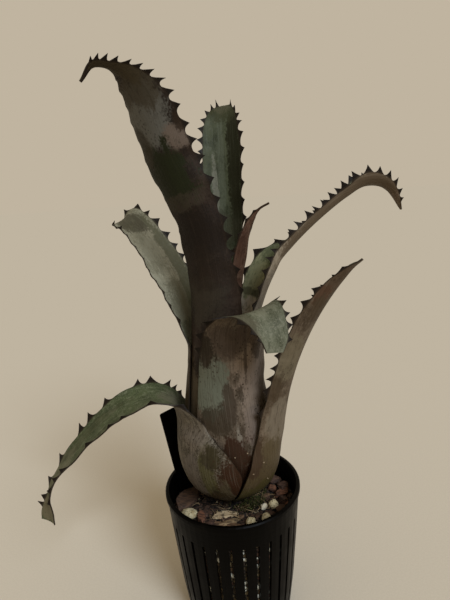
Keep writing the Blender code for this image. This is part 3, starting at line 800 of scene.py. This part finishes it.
def black_plastic(name, roughness, scratch):
    """Moulded black plastic with faint turned lines, dust and handling marks."""
    skin = Finish(name, specular=0.04)
    dust = skin.cloud((160, 160, 90), detail=5, seed=3)
    rings = skin.cloud((25, 25, 900), detail=2, seed=5)
    marks = skin.cloud((700, 700, 60), detail=3, seed=9)
    colour = skin.blend(tone(4, 3, 2), tone(18, 14, 10), skin.rise(dust, 0.5, 0.8, 0, 0.4))
    colour = skin.blend(colour, tone(34, 29, 23), skin.rise(marks, 0.66, 0.78, 0, scratch))
    rough = skin.rise(dust, 0.3, 0.75, roughness, roughness + 0.18)
    return skin.done(colour, rough, rings * 0.5 + dust, depth=0.12)


# The bark mix: how many chunks come in a metre each way, and where its side, which shows through the pot's
# slots and is paler, partly with painted light, begins: outwards from the axis and downwards, in metres
CHUNKS = (330, 330, 330)
WALL_FROM = (23.5 * MM, 24.5 * MM)
WALL_BELOW = ((MIX_TOP - 1) * MM, (MIX_TOP - 3) * MM)
# The plug stands clear of the pot's wall and floor, and its top has fine rings to carry lumps
WALL_CLEAR = 0.4
CORNER_CLEAR = 0.9
FLOOR_CLEAR = 0.3
PLUG_HEIGHTS = (MIX_TOP, 50, 22)
PLUG_RINGS, PLUG_STEPS = 26, 128
FIRST_RING = 1.5
# Broad and fine lumps: how high they stand, how many come in a millimetre, and how far they all sink
BROAD_LUMP, BROAD_COUNT = 0.9, 0.33
FINE_LUMP, FINE_COUNT = 0.5, 0.8
LUMPS_SUNK = 0.3


def mix_finish(name):
    """Dark bark mix: chunks of brown and black with pale grit, painted shade in the gaps between chunks, and
    a side made paler with painted light.
    """
    skin = Finish(name, specular=0.3)
    chunks = skin.cells(CHUNKS, output="Color")
    edge = skin.cells(CHUNKS, feature="DISTANCE_TO_EDGE")
    fine = skin.cloud((1500, 1500, 1500), detail=3, seed=2)
    pick = skin.node("SeparateColor", {}, [chunks], output=0)
    stops = [
        (0.0, tone(24, 17, 12)), (0.35, tone(46, 33, 24)), (0.6, tone(66, 46, 33)), (0.8, tone(84, 62, 44)),
        (0.94, tone(120, 100, 74)), (1.0, tone(168, 156, 128)),
    ]
    colour = skin.node("ValToRGB", {"stops": stops}, [pick])
    # Pale stones, husk and bark on the mix's side show through the pot's slots, made paler still with painted
    # light
    pale_and_lit_wall_stops = [
        (0.0, tone(40, 32, 24)), (0.3, tone(118, 102, 72)), (0.5, tone(88, 62, 48)), (0.7, tone(66, 54, 42)),
        (0.82, tone(226, 222, 198)), (1.0, tone(240, 238, 220)),
    ]
    away = skin.length(skin.vector("MULTIPLY", skin.place, (1, 1, 0)))
    pale_and_lit_at_wall = skin.rise(away, *WALL_FROM) * skin.rise(skin.coordinate("Z"), *WALL_BELOW)
    colour = skin.blend(colour, skin.node("ValToRGB", {"stops": pale_and_lit_wall_stops}, [pick]), pale_and_lit_at_wall)
    # Painted shade: the gaps between chunks are darkened
    colour = skin.blend(colour, tone(14, 10, 7), skin.rise(edge, 0.12, 0.02, 0, 0.9))
    colour = skin.blend(colour, tone(18, 13, 9), skin.rise(fine, 0.45, 0.7, 0, 0.6))
    lumps = skin.rise(edge, 0, 0.25) * 2 + fine
    return skin.done(colour, 0.9, lumps, depth=0.6)


def build_mix():
    """The plug of mix, with a lumpy top."""
    sides = [(pot_outer(z) - WALL - WALL_CLEAR, z) for z in PLUG_HEIGHTS]
    rings = np.linspace(sides[0][0], FIRST_RING, PLUG_RINGS)
    bottom = POT_FLOOR + FLOOR_CLEAR
    profile = [(0, MIX_TOP)] + [(r, MIX_TOP) for r in reversed(rings)] + sides[1:]
    mesh = turned(profile + [(BASE_RADIUS - WALL - CORNER_CLEAR, bottom), (0, bottom)], PLUG_STEPS)
    for vert in mesh.verts:
        if vert.co.z > MIX_TOP - 0.01:
            spot = Vector((vert.co.x, vert.co.y, 0))
            lumps = BROAD_LUMP * noise.noise(spot * BROAD_COUNT)
            lumps += FINE_LUMP * noise.noise(spot * FINE_COUNT + Vector((9, 4, 0)))
            vert.co.z += lumps - LUMPS_SUNK
    piece(mesh, "bark_mix", [mix_finish("bark_mix")], replaces=["potting_mix"], sharp=60)


def stem_finish(name):
    """Brown stem with rings of old leaf scars."""
    skin = Finish(name, specular=0.3)
    rings = skin.cloud((90, 90, 900), detail=3)
    colour = skin.blend(tone(60, 46, 28), tone(32, 22, 12), skin.rise(rings, 0.4, 0.65))
    return skin.done(colour, 0.85, rings, depth=0.3)


def dress_plain_nodes():
    """The pot, the label and the stem keep the part's shapes."""
    dress("pot", black_plastic("pot_plastic", roughness=0.3, scratch=0.3))
    dress("plant_label", black_plastic("label_plastic", roughness=0.55, scratch=0.2))
    dress("stem", stem_finish("stem_skin"))


def stone_finish(name, light, dark, pit_scale):
    """Pumice: pale and pitted, with painted shade in the pits."""
    skin = Finish(name, specular=0.3)
    cloud = skin.cloud((420, 420, 420), detail=4)
    pits = skin.cells((pit_scale,) * 3)
    pit = skin.rise(pits, 0.3, 0.1)
    colour = skin.blend(tone(*light), tone(*dark), skin.rise(cloud, 0.42, 0.7))
    # Painted shade: the pits are darkened
    colour = skin.blend(colour, tone(70, 56, 38), pit * 0.7)
    return skin.done(colour, 0.85, cloud - pit, depth=0.25)


def bark_finish(name, light, dark):
    """Bark: fibrous in layers."""
    skin = Finish(name, specular=0.35)
    grain = skin.cloud((260, 1300, 1600), detail=4, warp=0.3)
    cloud = skin.cloud((350, 350, 350), detail=3, seed=4)
    colour = skin.blend(tone(*light), tone(*dark), skin.rise(grain, 0.38, 0.66))
    colour = skin.blend(colour, tone(20, 13, 9), skin.rise(cloud, 0.55, 0.75, 0, 0.7))
    return skin.done(colour, 0.8, grain, depth=0.35)


# The looks of what lies loose: slot, light and dark colour and, for pumice, how many pits come in a metre
LOOSE_LOOKS = {
    "pumice_stone": ("pumice", (182, 168, 132), (146, 128, 92), 900),
    "bark_chip": ("bark", (84, 60, 46), (46, 32, 24)),
    "coir_husk": ("husk", (146, 122, 88), (88, 68, 46)),
    "bark_crumbs": ("bark", (74, 52, 38), (34, 24, 17)),
    "dark_crumbs": ("potting_mix", (40, 30, 22), (18, 12, 8)),
    "grit": ("pumice", (160, 144, 110), (112, 94, 64), 1400),
    "dark_chunks": ("bark", (80, 57, 40), (42, 29, 20)),
    "red_chips": ("bark", (108, 70, 48), (56, 35, 24)),
    "brown_chips": ("bark", (104, 78, 54), (58, 42, 28)),
    "loose_husk": ("husk", (176, 154, 120), (112, 90, 62)),
    "pale_stones": ("pumice", (206, 196, 172), (158, 142, 112), 1100),
    "sheath_grains": ("pumice", (138, 120, 96), (104, 86, 64), 2200),
    "fibres": ("husk", (150, 126, 92), (96, 74, 50)),
}

# The part's loose pieces by kind: place on the mix, length, width, height and turn in degrees
LOOSE_PIECES = {
    "pumice_stone": [
        (-24.5, -11, 9, 6.5, 5, -20), (8, -20, 5.5, 4.5, 4, 30), (16.5, -18.5, 6, 4.5, 4.5, 70),
        (21.5, -8.5, 5.5, 4.5, 5, 10), (16.5, 24.5, 5, 4, 4, 50), (-8, 30.5, 6, 5, 4, 0),
    ],
    "bark_chip": [
        (29, 6.5, 9, 7, 6.5, 80), (25, 14.5, 8, 7, 6, 30), (28, -4.5, 7, 6, 5, 120), (-28.5, 1, 10, 7, 5, 95),
        (-19.5, 21.5, 9, 7.5, 5.5, 40), (-14.5, -20.5, 9, 6, 5, 65), (4.5, 30.5, 9, 6, 5, 10),
        (-17, -10.5, 6, 4.5, 3.5, 120),
    ],
    "coir_husk": [(-3.5, -17.5, 15, 5, 2.2, 8)],
}

# Chips and stones of the scene alone, in the same form
PLACED_CHIPS = {
    "dark_chunks": [
        (-26.5, 2.5, 22, 12, 7, 60), (-32, -5, 6, 5, 4, 20), (25, -11, 9, 6, 5, 60), (-22, -20, 6, 4, 3, 30),
        (12, -14, 5, 4, 3, 80),
    ],
    "red_chips": [
        (-18.5, -14.5, 10, 5, 7.5, 96), (28, 2, 10, 6, 5, 40), (23, 7, 7, 5, 4, 150), (29, -6, 6, 4, 3, 80),
    ],
    "brown_chips": [
        (-10, -19, 11, 4.5, 2.8, 6), (-1, -20.5, 9, 4, 2.4, -8), (3, -14, 6, 3, 2.5, 40),
        (18, 1, 7, 4, 3, 20),
    ],
    "loose_husk": [(-5, -11.5, 15, 5.5, 2.6, 6), (4, -7, 6, 2.5, 1.6, -30)],
    "pale_stones": [(16.5, -8, 4.5, 3.5, 3.2, 40), (11, -20.5, 3, 2.5, 2.2, 0), (-9, -22, 3, 2.6, 2, 30)],
}

# Crumbs all over the mix: how many, least and largest size
CRUMBS = {
    "bark_crumbs": (300, 1.2, 3.6),
    "dark_crumbs": (260, 1, 3),
    "grit": (70, 0.7, 1.8),
}

# Grains on the sheaths: degrees round the tube from the front, height, layer of the leaf, length
SHEATH_GRAINS = [(35, 103, 0, 1.2), (20, 109, 2, 1.1), (22.5, 98, 0, 1), (5, 108, 2, 0.9), (42, 90, 0, 0.8)]
GRAIN_WIDTH, GRAIN_HEIGHT = 1, 0.9

# How deep the pieces lie in the mix, how far small ones spread, and the room they leave the plant's foot
LOOSE_SUNK, CRUMB_SUNK, CHIP_SUNK, MOSS_SUNK = 0.2, 0.5, 0.6, 0.2
SPREAD = 33
FOOT_CLEAR = 11


def rough_lump(mesh, centre, size, turn, subdivisions, angular, seed):
    """Adds a rough lump that stands at the centre's height, with a size along, across and up: rounded like a
    stone with angular 0, and faceted like a chip of bark with 1."""
    draw = random.Random(seed)
    offset = Vector([draw.uniform(0, 50) for _ in range(3)])
    flats = [(Vector((0, 0, side)), 0.3) for side in (-1, 1)] if angular else []
    for _ in range(6 * angular):
        normal = Vector([draw.gauss(0, 1) for _ in range(3)]).normalized()
        flats.append((normal, draw.uniform(0.27, 0.4)))
    made = bmesh.ops.create_icosphere(mesh, subdivisions=subdivisions, radius=0.5)["verts"]
    for vert in made:
        direction = vert.co.normalized()
        rough = 0.2 * noise.noise(direction * 1.6 + offset) + 0.08 * noise.noise(direction * 5 + offset)
        vert.co *= 1 + rough
        for normal, reach in flats:
            vert.co -= normal * max(0, vert.co @ normal - reach)
        if flats:
            vert.co *= 1 + 0.05 * noise.noise(direction * 9 - offset)
    bmesh.ops.scale(mesh, vec=size, verts=made)
    tilt = Matrix.Rotation(math.radians(draw.uniform(-14, 14)), 3, "X")
    bmesh.ops.rotate(mesh, matrix=Matrix.Rotation(math.radians(turn), 3, "Z") @ tilt, verts=made)
    lowest = min(vert.co.z for vert in made)
    bmesh.ops.translate(mesh, vec=(centre[0], centre[1], centre[2] - lowest), verts=made)


def loose_look(kind):
    """The finish and the slot of a kind of loose stuff, and whether it is angular, which pumice isn't."""
    slot, light, dark, *pits = LOOSE_LOOKS[kind]
    if slot == "pumice":
        return stone_finish(kind, light, dark, *pits), slot, 0
    return bark_finish(kind, light, dark), slot, 1


def lay_chip(mesh, chip, sunk, angular, seed):
    """Lays a chip or stone from one of the tables on the mix."""
    x, y, length, width, height, turn = chip
    rough_lump(mesh, (x, y, MIX_TOP - sunk), (length, width, height), turn, 4, angular, seed)


def build_loose_pieces():
    """Rougher stones, chips and husk in place of the part's."""
    seed = 0
    for kind, chips in LOOSE_PIECES.items():
        finish, slot, angular = loose_look(kind)
        for number, chip in enumerate(chips, 1):
            mesh = bmesh.new()
            lay_chip(mesh, chip, LOOSE_SUNK, angular, seed)
            node = f"{kind}_{number}"
            piece(mesh, f"loose_{node}", [finish], sharp=45, replaces=[node])
            seed += 1


def build_placed_chips():
    """Larger chips and stones that lie on the mix in front of the plant."""
    for kind, chips in PLACED_CHIPS.items():
        finish, slot, angular = loose_look(kind)
        mesh = bmesh.new()
        for seed, chip in enumerate(chips, 40):
            lay_chip(mesh, chip, CHIP_SUNK, angular, seed)
        piece(mesh, kind, [finish], sharp=45)


def build_crumbs():
    """Small bark and grit all over the mix, 20 faces each."""
    draw = random.Random(12)
    for kind, (count, least, largest) in CRUMBS.items():
        finish, slot, angular = loose_look(kind)
        mesh = bmesh.new()
        for seed in range(count):
            away, turn = SPREAD * math.sqrt(draw.random()), draw.uniform(0, math.tau)
            x, y = away * math.sin(turn), -away * math.cos(turn)
            if math.hypot(x, y - FOOT_BACK) < FOOT_CLEAR:
                continue
            across = draw.uniform(least, largest)
            size = (across * draw.uniform(1, 1.8), across, across * draw.uniform(0.4, 0.9))
            rough_lump(mesh, (x, y, MIX_TOP - CRUMB_SUNK), size, draw.uniform(0, 360), 1, angular, seed)
        piece(mesh, kind, [finish], sharp=30)


def build_sheath_grains():
    """Grains of pumice that cling to the sheaths low in front."""
    finish, slot, _ = loose_look("sheath_grains")
    mesh = bmesh.new()
    for seed, (degrees, height, layer, length) in enumerate(SHEATH_GRAINS, 90):
        away, facing = tube_radius(height, layer) + 0.1, math.radians(degrees)
        place = (away * math.sin(facing), tube_back(height) - away * math.cos(facing), height - 0.5)
        rough_lump(mesh, place, (length, GRAIN_WIDTH, GRAIN_HEIGHT), degrees, 2, 1, seed)
    piece(mesh, "sheath_grains", [finish], sharp=45)


def strand(mesh, places, radius):
    """A bent fibre with three sides that thins towards both ends."""
    last = len(places) - 1
    rings = []
    for i, place in enumerate(places):
        along = (places[min(i + 1, last)] - places[max(i - 1, 0)]).normalized()
        across = along.orthogonal().normalized()
        thick = radius * (0.25 + 0.75 * math.sin(math.pi * (i + 0.5) / (last + 1)))
        turned_by = [Matrix.Rotation(math.tau * k / 3, 3, along) @ across for k in range(3)]
        rings.append([mesh.verts.new(place + thick * side) for side in turned_by])
    for low, high in zip(rings, rings[1:]):
        for k in range(3):
            mesh.faces.new((low[k], low[k - 1], high[k - 1], high[k]))
    mesh.faces.new(rings[0])
    mesh.faces.new(reversed(rings[-1]))


# How many strands there are of each kind, and the points along a fibre and along a strand of moss
FIBRES, RISING_FIBRES, MOSS_STRANDS = 70, 9, 420
FIBRE_POINTS, MOSS_POINTS = 7, 4


def from_foot(away, turn, above):
    """A place round the plant's foot, turned in radians to the right of the front, and above the mix."""
    return Vector((away * math.sin(turn), FOOT_BACK - away * math.cos(turn), MIX_TOP + above))


def build_fibres():
    """Straw and root fibres on the mix and against the plant's foot."""
    draw = random.Random(31)
    finish, slot, _ = loose_look("fibres")
    mesh = bmesh.new()
    for _ in range(FIBRES):
        start = from_foot(draw.uniform(FOOT_CLEAR + 1, SPREAD), draw.gauss(0.1, 1.1), draw.uniform(0.3, 1.6))
        heading = Vector((draw.gauss(0, 1), draw.gauss(0, 1), draw.uniform(-0.1, 0.35))).normalized()
        bend = Vector((draw.gauss(0, 0.3), draw.gauss(0, 0.3), draw.uniform(-0.15, 0.1)))
        step = draw.uniform(0.7, 1.5)
        places = [start + heading * step * k + bend * (step * k * k / 8) for k in range(FIBRE_POINTS)]
        if all(math.hypot(place.x, place.y) < SPREAD + 1 for place in places):
            strand(mesh, places, draw.uniform(0.09, 0.2))
    for _ in range(RISING_FIBRES):
        start = Vector((draw.uniform(1, 7), draw.uniform(-8.5, -6.5), MIX_TOP))
        heading = Vector((draw.gauss(0, 0.2), draw.uniform(-0.75, -0.5), 1)).normalized()
        places = [start + heading * 1.1 * k + Vector((0.03, -0.02, 0)) * k * k for k in range(FIBRE_POINTS)]
        strand(mesh, places, draw.uniform(0.14, 0.24))
    face_outwards(mesh)
    piece(mesh, "fibres", [finish], sharp=70)


def moss_finish(name):
    """Olive and brown moss."""
    skin = Finish(name, specular=0.2)
    cloud = skin.cloud((500, 500, 500), detail=3)
    colour = skin.blend(tone(70, 72, 34), tone(44, 38, 18), skin.rise(cloud, 0.42, 0.66))
    return skin.done(colour, 0.9, cloud, depth=0.1)


# The moss: which way it lies from the foot, in radians to the right of the front, and how far it reaches
MOSS_TURN, MOSS_WIDTH = 0.75, 0.42
MOSS_REACH = 19


def build_moss():
    """Tufts of moss at the plant's foot, on the right in front."""
    draw = random.Random(7)
    mesh = bmesh.new()
    for _ in range(MOSS_STRANDS):
        turn = draw.gauss(MOSS_TURN, MOSS_WIDTH)
        foot = from_foot(draw.uniform(FOOT_CLEAR, MOSS_REACH), turn, -MOSS_SUNK)
        out = Vector((math.sin(turn), -math.cos(turn), 0)) * 0.5
        lean = out + Vector((draw.gauss(0, 0.35), draw.gauss(0, 0.35), 1))
        tall = draw.uniform(1.2, 3.2) * (1 - 0.3 * abs(turn - MOSS_TURN))
        places = [foot + lean * (tall * k / (MOSS_POINTS - 1)) for k in range(MOSS_POINTS)]
        strand(mesh, places, draw.uniform(0.16, 0.3))
    face_outwards(mesh)
    piece(mesh, "moss", [moss_finish("moss")], sharp=80)


def stage():
    """A plain pale floor under an even pale light, a soft sun from the upper right front, and the camera."""
    mesh = bmesh.new()
    bmesh.ops.create_grid(mesh, x_segments=1, y_segments=1, size=FLOOR_REACH)
    data = bpy.data.meshes.new("floor")
    mesh.to_mesh(data)
    mesh.free()
    floor = bpy.data.objects.new("floor", data)
    bpy.context.scene.collection.objects.link(floor)
    paint = Finish("floor_paint", specular=0)
    grain = paint.cloud((900, 900, 900), detail=2)
    shade = paint.rise(grain, 0.3, 0.7)
    data.materials.append(paint.done(paint.blend(*FLOOR_TONES, shade), 0.9))

    world = bpy.data.worlds.new("room")
    bpy.context.scene.world = world
    world.use_nodes = True
    world.node_tree.nodes["Background"].inputs["Color"].default_value = ROOM_TONE

    light = bpy.data.lights.new("sun", "SUN")
    light.angle, light.energy = SUN_WIDTH, SUN_STRENGTH
    light.color = SUN_COLOUR
    lamp = bpy.data.objects.new("sun", light)
    lamp.rotation_euler = Vector(SUN_FROM).to_track_quat("Z", "Y").to_euler()
    bpy.context.scene.collection.objects.link(lamp)

    camera = bpy.data.objects.new("camera", bpy.data.cameras.new("camera"))
    camera.data.lens = CAMERA_LENS
    camera.data.clip_start = 0.01
    turn = Matrix.Rotation(-CAMERA_YAW, 4, "Z") @ Matrix.Rotation(math.pi / 2 - CAMERA_PITCH, 4, "X")
    camera.matrix_world = Matrix.Translation(CAMERA_PLACE) @ turn @ Matrix.Rotation(CAMERA_ROLL, 4, "Z")
    bpy.context.scene.collection.objects.link(camera)
    bpy.context.scene.camera = camera
    bpy.context.scene.view_settings.view_transform = "Standard"


stage()
dress_plain_nodes()
build_mix()
build_loose_pieces()
build_crumbs()
build_placed_chips()
build_sheath_grains()
build_fibres()
build_moss()
build_leaves()
